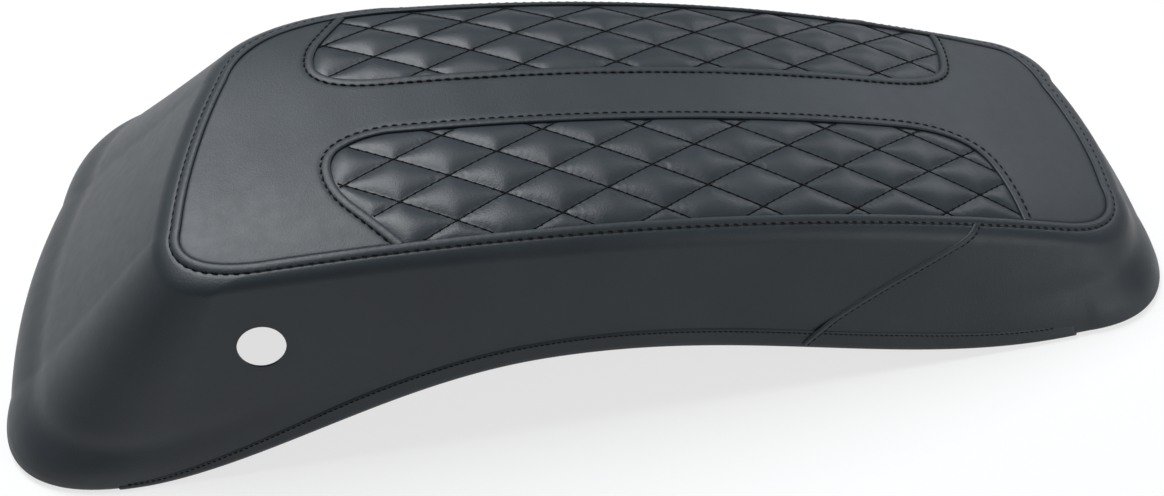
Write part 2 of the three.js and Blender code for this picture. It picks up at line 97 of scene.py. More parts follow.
TAPE_SPAN = {"front": (1.5, 3.5), "rear": (5.5, 7.5)}
TAPE_TOP = 18.0  # over the rim
TAPE_FOOT = 4.0
TAPE_DEPTH = 1.9
TAPE_THICK = 1.0

# The layers under the top: depth of the upper face under the smooth form, then thickness
CENTRE_FOAM = (2.7, 5.8)
QUILT_FOAM = (2.5, 5.1)
BACKING = (7.9, 0.6)
LAYER_INSET = 1.5  # from the perimeter seam

# Sewing
SEATED = 0.2  # how deep rolls and stitches sit in the plain vinyl
STITCH = 4.8  # pitch of the top-stitching
QUILT_STITCH = 4.7
QUILT_HALF = np.array([25.0, 14.05])  # half the diamonds' length and width
QUILT_MIDDLE_X = -24.5  # where the quilting grid's lengthwise measure starts
QUILT_START = {-1: np.array([0.2, -46.9]), 1: np.array([23.9, 47.2])}
QUILT_CELL = 1.9  # mesh spacing
QUILT_REACH = 26  # seams numbered up to this cover both inlays
QUILT_SINK = 1.2  # depth of the quilting seams under the plain vinyl
QUILT_RISE = 1.5  # height of a diamond's middle over its seams
QUILT_VINYL = 0.8
PUFF_REACH = 9.5  # how far from a seam the padding goes on rising
INLAY_STITCH = 3.8  # from an inlay's edge to its top-stitching
PERIMETER_WELT = 1.75  # from the perimeter seam to the middle of its rolled edge
PERIMETER_STITCH = 3.8
SLANT_WIDTH = 1.7
SLANT_HEIGHT = 0.75
SLANT_START = 0.2  # row of the shoulder where the slanted seam comes out from under the perimeter's
SLANT_OVER_HEM = 0.95
EDGE_ROUND = 1.8  # radius of the cover's turned lower edge
HEART = np.array([20.0, 0.0])  # where the shell's top closes
MIDDLE = np.array([0.0, 0.0, 20.0])  # a point inside the lid
UP = np.array([0.0, 0.0, 1.0])
SIM_SCALE = 0.1  # metres in the simulation for each millimetre
SIM_PRESSURE = 1.2
SIM_GROWTH = -0.012  # the face is cut a little full, so that it puckers between the seams
SIM_CAP = 2.5  # the furthest a point may move, in millimetres
SIM_FRAMES = 20


# ---- Form ---------------------------------------------------------------------------------------
def top_height(x, y):
    fall = REAR_DROP * (np.abs(x - CREST_X) / REAR_RUN) ** DROP_POWER
    return CREST_Z - fall - CROWN * (np.abs(y) / CROWN_HALF) ** CROWN_POWER


def top_normal(x, y):
    slope_x = (top_height(x + 1, y) - top_height(x - 1, y)) / 2
    slope_y = (top_height(x, y + 1) - top_height(x, y - 1)) / 2
    return unit(np.stack([-slope_x, -slope_y, np.ones_like(slope_x)], -1))


def unit(v):
    return v / np.maximum(np.linalg.norm(v, axis=-1, keepdims=True), 1e-9)


def smooth(low, high, value):
    share = np.clip((value - low) / (high - low), 0, 1)
    return share * share * (3 - 2 * share)


def wobble(p, size, seed=0.0):
    """A smooth, repeatable unevenness between about -1 and 1, with features of the given size."""
    total = 0
    for k, (a, b, c) in enumerate([(1, 0.4, 0.7), (-0.6, 1, 0.3), (0.3, -0.8, 1), (0.9, 0.9, -0.5)]):
        wave = (a * p[..., 0] + b * p[..., 1] + c * p[..., 2]) * 2 * math.pi / (size * (1 + 0.37 * k))
        total = total + np.sin(wave + 1.7 * k + seed)
    return total / 4


def outline(corners, bulges):
    """Three control points for each of an outline's eight curves: a side, then the corner at its end."""
    points = [np.array(c[:2], float) for c in corners]
    curves = []
    for i, corner in enumerate(corners):
        here, after, beyond = points[i], points[(i + 1) % 4], points[(i + 2) % 4]
        coming = corners[(i + 1) % 4]
        start = here + unit(after - here) * corner[3]
        end = after + unit(here - after) * coming[2]
        side = unit(end - start)
        control = (start + end) / 2 + np.array([-side[1], side[0]]) * 2 * bulges[i]
        curves.append((start, control, end))
        curves.append((end, after, after + unit(beyond - after) * coming[3]))
    return np.array(curves)


SEAM = outline(SEAM_CORNERS, SEAM_BULGES)
RIM = outline(RIM_CORNERS, RIM_BULGES)


def outline_at(curves, u):
    """Points of an outline at u from 0 to CURVES, one unit for each curve."""
    u = np.mod(u, CURVES)
    which = np.minimum(u.astype(int), CURVES - 1)
    t = (u - which)[..., None]
    a, b, c = (curves[which, k] for k in range(3))
    return (1 - t) ** 2 * a + 2 * t * (1 - t) * b + t * t * c


def arch_height(x):
    front = np.clip((x - ARCH_FRONT) / (ARCH_CROWN - ARCH_FRONT), 0, 1)
    rear = np.clip((ARCH_REAR - x) / (ARCH_REAR - ARCH_CROWN), 0, 1)
    rise_front = (0.5 - 0.5 * np.cos(math.pi * front)) ** ARCH_FRONT_POWER
    rise_rear = 0.5 - 0.5 * np.cos(math.pi * rear)
    return ARCH_RISE * np.where(x < ARCH_CROWN, rise_front, rise_rear)


def wall(u, w, deep_top=0.0, deep_side=0.0):
    """Points of the wall. w is 0 at the perimeter seam, 1 below the shoulder and 2 at the rim's plane."""
    seam = outline_at(SEAM, u)
    rim = outline_at(RIM, u)
    out = unit(rim - seam)
    height = top_height(seam[..., 0], seam[..., 1]) - deep_top
    start = np.concatenate([seam, height[..., None]], -1)
    ahead = unit(outline_at(SEAM, u + 1e-3) - outline_at(SEAM, u - 1e-3))
    square = np.abs(ahead[..., :1] * out[..., 1:] - ahead[..., 1:] * out[..., :1])
    knee = seam + out * (SHOULDER / square - deep_side)
    corner = np.concatenate([knee, (height - SHOULDER_DIP)[..., None]], -1)
    base = rim - out * deep_side
    foot = np.concatenate([base, np.zeros_like(height)[..., None]], -1)
    turn = corner + unit(foot - corner) * SHOULDER_DOWN
    a = np.clip(w, 0, 1)[..., None]
    b = np.clip(w - 1, 0, 2)[..., None]
    shoulder = (1 - a) ** 2 * start + 2 * a * (1 - a) * corner + a * a * turn
    return shoulder + (foot - turn) * b


def reach(u, lift, deep_top=0.0, deep_side=0.0):
    """The w at which the wall meets the arched rim, raised by lift."""
    w = np.full_like(u, 2.0)
    turn = wall(u, np.ones_like(u), deep_top, deep_side)[..., 2]
    for _ in range(5):
        z = arch_height(wall(u, w, deep_top, deep_side)[..., 0]) + lift
        w = 1 + (turn - z) / turn
    return w


def outward(u):
    return unit(outline_at(RIM, u) - outline_at(SEAM, u))


def level_out(u):
    """The outward direction as level vectors in space."""
    return np.concatenate([outward(u), np.zeros((*u.shape, 1))], -1)


def spaced(u_from, u_to, step):
    """Values of u about step millimetres apart along the rim, with every curve's ends among them."""
    marks = [u_from, *range(math.floor(u_from) + 1, math.ceil(u_to)), u_to]
    values = []
    for a, b in zip(marks[:-1], marks[1:]):
        line = outline_at(RIM, np.linspace(a, b - 1e-6, 40))
        length = np.linalg.norm(np.diff(line, axis=0), axis=1).sum()
        values.extend(np.linspace(a, b, max(2, round(length / step)) + 1)[:-1])
    return np.array(values)


# ---- Mesh helpers -------------------------------------------------------------------------------
def in_scene(name, data):
    obj = bpy.data.objects.new(name, data)
    bpy.context.scene.collection.objects.link(obj)
    return obj


def make(name, points, faces, material, stands_for=(), sharp=48):
    """An object from points in millimetres, riding the root; edges sharper than sharp degrees stay hard."""
    mesh = bpy.data.meshes.new(name)
    points = (np.asarray(points, float).reshape(-1, 3) - FOOTPRINT_MIDDLE) * MM
    mesh.from_pydata(points.tolist(), [], [list(map(int, f)) for f in faces])
    mesh.update()
    obj = in_scene(name, mesh)
    mesh.materials.append(material)
    finish_shading(obj, sharp)
    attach(obj, "root")
    if stands_for:
        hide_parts(*stands_for)
    return obj


def finish_shading(obj, sharp):
    mesh = obj.data
    mesh.polygons.foreach_set("use_smooth", [True] * len(mesh.polygons))
    mesh.set_sharp_from_angle(angle=math.radians(sharp))
    mesh.update()


def bake_modifiers(obj):
    """Replaces the object's mesh by what its modifiers make of it."""
    graph = bpy.context.evaluated_depsgraph_get()
    made = bpy.data.meshes.new_from_object(obj.evaluated_get(graph), depsgraph=graph)
    old = obj.data
    obj.modifiers.clear()
    obj.data = made
    bpy.data.meshes.remove(old)


def thicken(obj, thickness):
    """Makes a closed sheet of an open one, which stays its outer face."""
    solid = obj.modifiers.new("thickness", "SOLIDIFY")
    solid.thickness = thickness * MM
    solid.offset = -1
    solid.use_even_offset = False
    bake_modifiers(obj)


def grid_faces(rows, columns, around=False):
    """Quads of a grid stored row after row; around closes the rows on themselves."""
    i, j = np.meshgrid(np.arange(rows if around else rows - 1), np.arange(columns - 1), indexing="ij")
    after = (i + 1) % rows
    here, there = i * columns + j, after * columns + j
    return np.stack([here, here + 1, there + 1, there], -1).reshape(-1, 4)


def tube_faces(rows, count, closed):
    """Faces of a closed section of count points, row after row, with caps unless the rows close too."""
    faces = []
    for i in range(rows if closed else rows - 1):
        here, there = i * count, (i + 1) % rows * count
        for j in range(count):
            k = (j + 1) % count
            faces.append((here + j, here + k, there + k, there + j))
    if not closed:
        faces.append(tuple(range(count))[::-1])
        faces.append(tuple((rows - 1) * count + j for j in range(count)))
    return faces


def facing_out(p, faces):
    """Faces of an open sheet turned away from the middle of the lid."""
    points = p.reshape(-1, 3)
    a, b, c = (points[faces[:, k]] for k in range(3))
    normal = np.cross(b - a, c - a)
    away = (a + c) / 2 - MIDDLE
    return faces if np.sum(normal * away) > 0 else faces[:, ::-1]


def band(name, p, thickness, material, node):
    """A thin closed sheet whose outer face is a grid of points."""
    faces = facing_out(p, grid_faces(*p.shape[:2]))
    obj = make(name, p, faces, material, [node], 60)
    thicken(obj, thickness)
    return obj


def run_along(line):
    """The distance from a line's first point to each of its points."""
    return np.concatenate([[0], np.cumsum(np.linalg.norm(np.diff(line, axis=0), axis=1))])


def resampled(points, step, closed=False, *others):
    """A polyline resampled evenly; others are arrays along it that are resampled with it."""
    if closed:
        points = np.vstack([points, points[:1]])
        others = [np.vstack([o, o[:1]]) for o in others]
    run = run_along(points)
    count = max(2, round(run[-1] / step))
    at = np.linspace(0, run[-1], count + 1)
    if closed:
        at = at[:-1]

    def picked(array):
        return np.stack([np.interp(at, run, array[:, k]) for k in range(array.shape[1])], -1)

    return [picked(a) for a in (points, *others)] if others else picked(points)


def directions(line, closed):
    along = np.gradient(line, axis=0)
    if closed:
        along[0] = line[1] - line[-1]
        along[-1] = line[0] - line[-2]
    return unit(along)


def sweep(name, node, line, normal, section, closed=False):
    """The cover's vinyl swept along a line; section holds the outline (across, up) at each of its points."""
    across = unit(np.cross(directions(line, closed), normal))
    rings = line[:, None] + across[:, None] * section[..., :1] + normal[:, None] * section[..., 1:]
    faces = oriented(rings.reshape(-1, 3), tube_faces(len(line), section.shape[1], closed))
    make(name, rings, faces, COVER, [node], 70)


def oriented(points, faces):
    """The faces of a closed mesh, turned outwards."""
    volume = 0
    for f in faces:
        a = points[f[0]]
        for b, c in zip(f[1:-1], f[2:]):
            volume += np.dot(a, np.cross(points[b], points[c]))
    return faces if volume > 0 else [tuple(f)[::-1] for f in faces]


def stitches(name, node, line, normal, closed=False, **kind):
    points, faces = thread_run(line, normal, closed, **kind)
    make(name, points, faces, THREAD, [node], 80)


def thread_run(
    line, normal, closed=False, pitch=STITCH, radius=0.52, lift=0.1, length=0.72, knot=-0.3, dive=1.3
):
    """Separate stitches along a line, which rise from the vinyl and dive back into it.

    length is a stitch's share of the pitch. As shares of the radius, knot is how much thicker its ends
    are, and dive how far they sink.
    """
    around, steps = 6, 7
    if closed:
        line, normal = np.vstack([line, line[:1]]), np.vstack([normal, normal[:1]])
    run = run_along(line)
    count = max(1, round(run[-1] / pitch))
    pitch = run[-1] / count
    share = np.linspace(-1, 1, steps)
    at = (np.arange(count)[:, None] + 0.5) * pitch + share * pitch * length / 2
    at = np.clip(at, 0, run[-1])
    centre = np.stack([np.interp(at, run, line[:, k]) for k in range(3)], -1)
    up = unit(np.stack([np.interp(at, run, normal[:, k]) for k in range(3)], -1))
    along = unit(np.gradient(centre, axis=1))
    side = unit(np.cross(along, up))
    height = lift + radius * 0.5 - dive * radius * np.abs(share) ** 3
    slew = 0.35 * radius * share
    centre = centre + up * height[None, :, None] + side * slew[None, :, None]
    thick = radius * (1 + knot * np.abs(share) ** 4)
    angle = np.arange(around) * 2 * math.pi / around
    ring = (
        centre[:, :, None]
        + side[:, :, None] * (np.cos(angle)[None, None] * thick[None, :, None])[..., None]
        + up[:, :, None] * (np.sin(angle)[None, None] * thick[None, :, None])[..., None]
    )
    faces = oriented(ring[0].reshape(-1, 3), tube_faces(steps, around, False))
    size = steps * around
    return ring.reshape(-1, 3), [tuple(v + n * size for v in f) for n in range(count) for f in faces]


# ---- Materials ----------------------------------------------------------------------------------
class Nodes:
    """A small helper for building a material's nodes."""

    def __init__(self, name):
        self.material = bpy.data.materials.new(name)
        self.material.use_nodes = True
        self.tree = self.material.node_tree
        self.shader = self.tree.nodes["Principled BSDF"]
        self.place = self.add("ShaderNodeTexCoord").outputs["Object"]

    def add(self, kind, **settings):
        node = self.tree.nodes.new(kind)
        for key, value in settings.items():
            setattr(node, key, value)
        return node

    def link(self, source, target):
        self.tree.links.new(source, target)

    def noise(self, scale, detail=2.0, roughness=0.5):
        node = self.add("ShaderNodeTexNoise")
        node.inputs["Scale"].default_value = scale
        node.inputs["Detail"].default_value = detail
        node.inputs["Roughness"].default_value = roughness
        self.link(self.place, node.inputs["Vector"])
        return node.outputs["Fac"]

    def cells(self, scale):
        node = self.add("ShaderNodeTexVoronoi")
        node.inputs["Scale"].default_value = scale
        self.link(self.place, node.inputs["Vector"])
        return node.outputs["Distance"]

    def spread(self, value, low, high):
        """Stretches the middle of a noise's range to low and high."""
        node = self.add("ShaderNodeMapRange")
        node.inputs["From Min"].default_value = 0.3
        node.inputs["From Max"].default_value = 0.7
        node.inputs["To Min"].default_value = low
        node.inputs["To Max"].default_value = high
        self.link(value, node.inputs["Value"])
        return node.outputs["Result"]

    def mottled(self, noise, dark, light):
        """A colour that wanders between two with a noise."""
        node = self.add("ShaderNodeMix", data_type="RGBA")
        node.inputs[6].default_value = (*dark, 1)
        node.inputs[7].default_value = (*light, 1)
        self.link(self.spread(noise, 0, 1), node.inputs[0])
        return node.outputs[2]

    def bump(self, height, strength, distance, before=None):
        node = self.add("ShaderNodeBump")
        node.inputs["Strength"].default_value = strength
        node.inputs["Distance"].default_value = distance
        self.link(height, node.inputs["Height"])
        if before:
            self.link(before, node.inputs["Normal"])
        return node.outputs["Normal"]

    def set(self, **values):
        for key, value in values.items():
            self.shader.inputs[key.replace("_", " ")].default_value = value

    def dress(self, tone, roughness, normal):
        for key, source in (("Base Color", tone), ("Roughness", roughness), ("Normal", normal)):
            self.link(source, self.shader.inputs[key])
        return self.material


def vinyl(name, dark, light, rough_low, rough_high):
    """Upholstery vinyl: fine pebbled grain, creases, and a slightly uneven satin."""
    n = Nodes(name)
    tone = n.mottled(n.noise(22, 4, 0.55), dark, light)
    satin = n.spread(n.noise(140, 3, 0.6), rough_low, rough_high)
    grain = n.bump(n.cells(1150), 0.24, 0.0002)
    grain = n.bump(n.noise(420, 3, 0.6), 0.1, 0.0003, grain)
    grain = n.bump(n.noise(900, 2, 0.6), 0.12, 0.0002, grain)
    n.set(Specular_IOR_Level=0.36, Sheen_Weight=0.02, Sheen_Roughness=0.5)
    return n.dress(tone, satin, grain)


def thread_material():
    n = Nodes("thread")
    twist = n.add("ShaderNodeTexWave", wave_type="BANDS", bands_direction="DIAGONAL")
    twist.inputs["Scale"].default_value = 900
    twist.inputs["Distortion"].default_value = 1.5
    n.link(n.place, twist.inputs["Vector"])
    tone = n.mottled(n.noise(300, 2), (0.0015, 0.0015, 0.002), (0.004, 0.004, 0.005))
    n.set(Specular_IOR_Level=0.15)
    return n.dress(tone, n.spread(n.noise(600, 2), 0.5, 0.72), n.bump(twist.outputs["Fac"], 0.5, 0.00012))


def plastic_material():
    n = Nodes("moulded_plastic")
    tone = n.mottled(n.noise(30, 3), (0.010, 0.011, 0.012), (0.016, 0.017, 0.018))
    return n.dress(tone, n.spread(n.noise(60, 4), 0.42, 0.58), n.bump(n.noise(1400, 2, 0.7), 0.25, 0.0002))


def plain_material(name, dark, light, rough, grain_scale, strength):
    n = Nodes(name)
    worn = n.spread(n.noise(200, 3), rough - 0.08, rough)
    grain = n.bump(n.noise(grain_scale, 3, 0.7), strength, 0.0005)
    return n.dress(n.mottled(n.noise(80, 4), dark, light), worn, grain)


COVER = vinyl("cover_vinyl", (0.0155, 0.0205, 0.025), (0.020, 0.026, 0.0315), 0.45, 0.50)
QUILT = vinyl("quilted_vinyl", (0.017, 0.022, 0.027), (0.022, 0.028, 0.034), 0.40, 0.46)
THREAD = thread_material()
PLASTIC = plastic_material()
RUBBER = plain_material("seal_rubber", (0.008, 0.008, 0.008), (0.014, 0.014, 0.014), 0.75, 500, 0.2)
FOAM = plain_material("foam", (0.24, 0.23, 0.20), (0.34, 0.33, 0.29), 0.95, 700, 0.8)
CLOTH = plain_material("backing_cloth", (0.09, 0.09, 0.085), (0.15, 0.15, 0.14), 0.95, 1200, 0.6)
TAPE = plain_material("bond_tape", (0.38, 0.37, 0.33), (0.5, 0.49, 0.45), 0.8, 300, 0.3)


# ---- Camera, light and floor --------------------------------------------------------------------
VIEW_AZIMUTH = 10.9
VIEW_DOWN = 45.7
VIEW_DISTANCE = 0.798
VIEW_AIM = (np.array([-11.8, -58.25, 60.0]) - FOOTPRINT_MIDDLE) * MM
VIEW_LENS = 49.48
SOFT_WHITE = (0.95, 0.975, 1)
FLOOR_HALF = 2.0


def camera():
    data = bpy.data.cameras.new("camera")
    data.lens = VIEW_LENS
    data.sensor_width = 36
    obj = in_scene("camera", data)
    azimuth, down = math.radians(VIEW_AZIMUTH), math.radians(VIEW_DOWN)
    level = math.cos(down)
    look = np.array([math.sin(azimuth) * level, math.cos(azimuth) * level, -math.sin(down)])
    obj.location = VIEW_AIM - look * VIEW_DISTANCE
    obj.rotation_euler = (math.pi / 2 - down, 0, -azimuth)
    bpy.context.scene.camera = obj


def area_light(name, where, aim, size, power):
    data = bpy.data.lights.new(name, "AREA")
    data.shape = "RECTANGLE"
    data.size, data.size_y = size
    data.energy = power
    data.color = SOFT_WHITE
    obj = in_scene(name, data)
    obj.location = where
    direction = np.array(aim) - np.array(where)
    flat = math.hypot(direction[0], direction[1])
    obj.rotation_euler = (math.atan2(flat, -direction[2]), 0, math.atan2(-direction[0], direction[1]))


def studio():
    world = bpy.data.worlds.new("studio")
    world.use_nodes = True
    background = world.node_tree.nodes["Background"]
    background.inputs["Color"].default_value = (0.9, 0.95, 1, 1)
    background.inputs["Strength"].default_value = 0.15
    bpy.context.scene.world = world
    area_light("overhead", (-0.45, 0.8, 1.85), (-0.05, 0, 0.05), (1.1, 1.5), 60)
    area_light("right", (1.5, 1.2, 1.1), (0.1, 0, 0.05), (1.0, 0.8), 9)
    area_light("front_right", (1.3, -1.1, 0.6), (0.2, 0, 0.05), (0.9, 0.7), 8)
    bpy.context.scene.view_settings.view_transform = "Standard"

    floor = bpy.data.meshes.new("floor")
    corners = [(x * FLOOR_HALF, y * FLOOR_HALF, 0) for x, y in ((-1, -1), (1, -1), (1, 1), (-1, 1))]
    floor.from_pydata(corners, [], [(0, 1, 2, 3)])
    obj = in_scene("floor", floor)
    n = Nodes("floor")
    n.set(Base_Color=(0.2, 0.2, 0.2, 1), Roughness=0.9, Emission_Color=(1, 1, 1, 1), Emission_Strength=0.72)
    floor.materials.append(n.material)


# ---- Top panel ----------------------------------------------------------------------------------
def inlay_path(side):
    """An inlay's outline from its front end round its inner edge to its rear end, both past the seam."""
    p = [np.array(q, float) for q in INLAY_POINTS[side]]

    def bend(a, b, c):
        t = np.linspace(0, 1, 24)[:, None]
        return (1 - t) ** 2 * a + 2 * t * (1 - t) * b + t * t * c

    pieces = [p[:1], bend(*p[1:4]), bend(*p[3:6]), bend(*p[6:9]), bend(*p[8:11]), p[11:]]
    return resampled(np.vstack(pieces), 1.2)


def shifted(path, outward_by):
    """An open plan path moved to its left side by a distance."""
    way = unit(np.gradient(path, axis=0))
    return path + np.stack([-way[:, 1], way[:, 0]], -1) * outward_by


def distance_to(points, path, closed=False):
    """Distance from plan points to a path, and whether each point is on the path's left."""
    ends = np.vstack([path, path[:1]]) if closed else path
    a, b = ends[:-1], ends[1:]
    best = np.full(len(points), 1e9)
    left = np.zeros(len(points), bool)
    for start, stop in zip(a, b):
        d = stop - start
        t = np.clip(((points - start) @ d) / (d @ d), 0, 1)
        off = points - start - t[:, None] * d
        gap = np.hypot(off[:, 0], off[:, 1])
        closer = gap < best
        best = np.where(closer, gap, best)
        left = np.where(closer, d[0] * off[:, 1] - d[1] * off[:, 0] > 0, left)
    return best, left


SEAM_LOOP = resampled(outline_at(SEAM, np.linspace(0, CURVES, 1600, endpoint=False)), 1.6, True)
INLAY = {side: inlay_path(side) for side in (-1, 1)}


def inside_distance(points):
    """How far plan points are inside the perimeter seam (negative outside)."""
    gap, left = distance_to(points, SEAM_LOOP, True)
    return np.where(left, -gap, gap)


def inlay_distance(points, side):
    """How far plan points are outside an inlay (negative inside)."""
    gap, left = distance_to(points, INLAY[side])
    outside = left if side < 0 else ~left
    return np.where(outside, gap, -gap)


def triangulated(points, lines, keep):
    """Triangles over plan points. Each line's points stay joined; keep picks triangles by their middles."""
    verts = [Vector(p) for p in points]
    edges = []
    for line, closed in lines:
        start = len(verts)
        verts.extend(Vector(p) for p in line)
        edges.extend((k, k + 1) for k in range(start, len(verts) - 1))
        if closed:
            edges.append((len(verts) - 1, start))
    made = delaunay_2d_cdt(verts, edges, [], 0, 1e-4)
    plan, faces = np.array([v[:] for v in made[0]]), np.array(made[2])
    faces = faces[keep(plan[faces].mean(1))]
    a, b, c = (plan[faces[:, k]] for k in range(3))
    turn = (b - a)[:, 0] * (c - a)[:, 1] - (b - a)[:, 1] * (c - a)[:, 0]
    faces = np.where(turn[:, None] > 0, faces, faces[:, ::-1])[np.abs(turn) > 1e-5]
    used, index = np.unique(faces, return_inverse=True)
    return plan[used], index.reshape(-1, 3)


def dotted(low, high, step):
    """Plan points on a triangular grid."""
    rows = np.arange(low[1], high[1], step * math.sqrt(3) / 2)
    x = np.arange(low[0], high[0], step)
    grid = [np.column_stack([x + step / 2 * (k % 2), np.full_like(x, y)]) for k, y in enumerate(rows)]
    return np.vstack(grid)


def rings(path, offsets, closed, spacing, sign=1):
    """Points in rows beside a path."""
    out = []
    for offset in offsets:
        way = directions(path, closed)
        moved = path + np.stack([-way[:, 1], way[:, 0]], -1) * offset * sign
        out.append(resampled(moved, spacing, closed))
    return np.vstack(out)


def plain_relief(points):
    """Height of the plain vinyl over the smooth top: it dips at every seam and stitch line."""
    seam = inside_distance(points)
    relief = 0.25 * wobble(np.column_stack([points, points[:, 0]]), 60)
    relief -= 0.8 * (1 - smooth(-0.2, 1.6, seam))
    for side in (-1, 1):
        away = inlay_distance(points, side)
        relief -= 0.4 * np.exp(-(((away - INLAY_STITCH) / 0.9) ** 2))
        relief -= 0.4 * (1 - smooth(0, 1.2, away))
    return relief


def on_top(points, depth):
    return np.column_stack([points, top_height(points[:, 0], points[:, 1]) - depth])


def top_panel():
    seam_rows = rings(SEAM_LOOP, (0.6, 1.2, 2.0, 3.4), True, 1.8, -1)
    offsets = (0.6, 1.3, 2.2, 3.0, 3.8, 4.6, 5.8, 7.5)
    inlay_rows = [rings(INLAY[side], offsets, False, 1.8, -side) for side in (-1, 1)]
    low, high = SEAM_LOOP.min(0), SEAM_LOOP.max(0)
    field = dotted(low, high, 3.4)
    apart = inside_distance(field) > 6
    for side in (-1, 1):
        apart &= inlay_distance(field, side) > 10.5
    points = np.vstack([field[apart], seam_rows, *inlay_rows])
    clear = inside_distance(points) > 0.5
    for side in (-1, 1):
        clear &= inlay_distance(points, side) > 0.5
    lines = [(SEAM_LOOP, True), (INLAY[-1], False), (INLAY[1], False)]

    def keep(middle):
        clear_of_inlays = (inlay_distance(middle, -1) > 0) & (inlay_distance(middle, 1) > 0)
        return clear_of_inlays & (inside_distance(middle) > 0)

    plan, faces = triangulated(points[clear], lines, keep)
    points = on_top(plan, -plain_relief(plan))
    obj = make("top_panel_vinyl", points, faces, COVER, ["top_panel"])
    thicken(obj, VINYL)


# ---- Quilted inlays -----------------------------------------------------------------------------
RUN_X = np.linspace(-320, 320, 2561)
RUN_Y = np.linspace(-130, 130, 1041)
ARC_X = np.concatenate([[0], np.cumsum(np.hypot(np.diff(RUN_X), np.diff(top_height(RUN_X, 0 * RUN_X))))])
ARC_Y = np.concatenate([[0], np.cumsum(np.hypot(np.diff(RUN_Y), np.diff(top_height(0 * RUN_Y, RUN_Y))))])
ARC_X -= np.interp(QUILT_MIDDLE_X, RUN_X, ARC_X)
ARC_Y -= np.interp(0, RUN_Y, ARC_Y)


def lattice(points, side):
    """A plan point's place in the quilting grid: seams lie where either number is even."""
    s = (np.interp(points[:, 0], RUN_X, ARC_X) - QUILT_START[side][0]) / QUILT_HALF[0]
    t = (np.interp(points[:, 1], RUN_Y, ARC_Y) - QUILT_START[side][1]) / QUILT_HALF[1]
    return s - t, s + t


def quilt_point(a, b, side):
    """The plan point at a place in the quilting grid."""
    s = (a + b) / 2 * QUILT_HALF[0] + QUILT_START[side][0]
    t = (b - a) / 2 * QUILT_HALF[1] + QUILT_START[side][1]
    return np.stack([np.interp(s, ARC_X, RUN_X), np.interp(t, ARC_Y, RUN_Y)], -1)


def quilt_lines(side):
    """Plan polylines of the quilting seams, over and beyond the inlay."""
    lines = []
    v = np.linspace(-QUILT_REACH, QUILT_REACH, 1000)
    for number in range(-QUILT_REACH, QUILT_REACH + 1, 2):
        k = np.full_like(v, number)
        for line in (quilt_point(k, v, side), quilt_point(v, k, side)):
            inside = (inlay_distance(line[::8], side) < 4) & (inside_distance(line[::8]) > -4)
            if inside.sum() < 2:
                continue
            marks = np.flatnonzero(inside) * 8
            line = line[max(marks[0] - 8, 0) : marks[-1] + 8]
            lines.append(resampled(line, QUILT_CELL))
    return lines


def in_inlay(points, side, margin):
    return (inlay_distance(points, side) < -margin) & (inside_distance(points) > margin)


def seam_gap(points, side):
    """Distance from plan points to the nearest quilting seam."""
    scale = 1 / math.hypot(1 / QUILT_HALF[0], 1 / QUILT_HALF[1])
    a, b = (np.abs(v - 2 * np.round(v / 2)) * scale for v in lattice(points, side))
    return np.minimum(a, b)


def quilt_mesh(side):
    """The plan mesh of a quilted inlay, with an edge along every quilting seam."""
    lines = [(line, False) for line in quilt_lines(side)]
    lines += [(SEAM_LOOP, True), (INLAY[side], False)]
    low = INLAY[side].min(0) - 2
    high = INLAY[side].max(0) + 2
    field = dotted(low, high, QUILT_CELL)
    field = field[in_inlay(field, side, QUILT_CELL * 0.55) & (seam_gap(field, side) > QUILT_CELL * 0.5)]
    return triangulated(field, lines, lambda middle: in_inlay(middle, side, 0))


def puff(points, side, height):
    """The rise of padding between its quilting seams and the inlay's edge, without simulation."""
    edge = np.minimum(-inlay_distance(points, side), inside_distance(points))
    share = np.clip(np.minimum(seam_gap(points, side), edge) / PUFF_REACH, 0, 1)
    return height * (0.3 * smooth(0, 0.12, share) + 0.7 * (1 - (1 - share) ** 2))


def quilt_face(side):
    plan, faces = quilt_mesh(side)
    edge = np.minimum(-inlay_distance(plan, side), inside_distance(plan))
    held = (seam_gap(plan, side) < 0.12) | (edge < 0.3)
    risen = 0.5  # the simulation raises the rest
    depth = QUILT_SINK - puff(plan, side, QUILT_RISE) * risen
    rest = on_top(plan, depth)
    name = SIDE_NAME[side]
    obj = make(name + "_quilt", rest, faces, QUILT, [name + "_quilt_face"], 80)
    inflate(obj, held, rest)
    divide = obj.modifiers.new("finer", "SUBSURF")
    divide.levels = divide.render_levels = 1
    bake_modifiers(obj)
    thicken(obj, QUILT_VINYL)
    finish_shading(obj, 70)


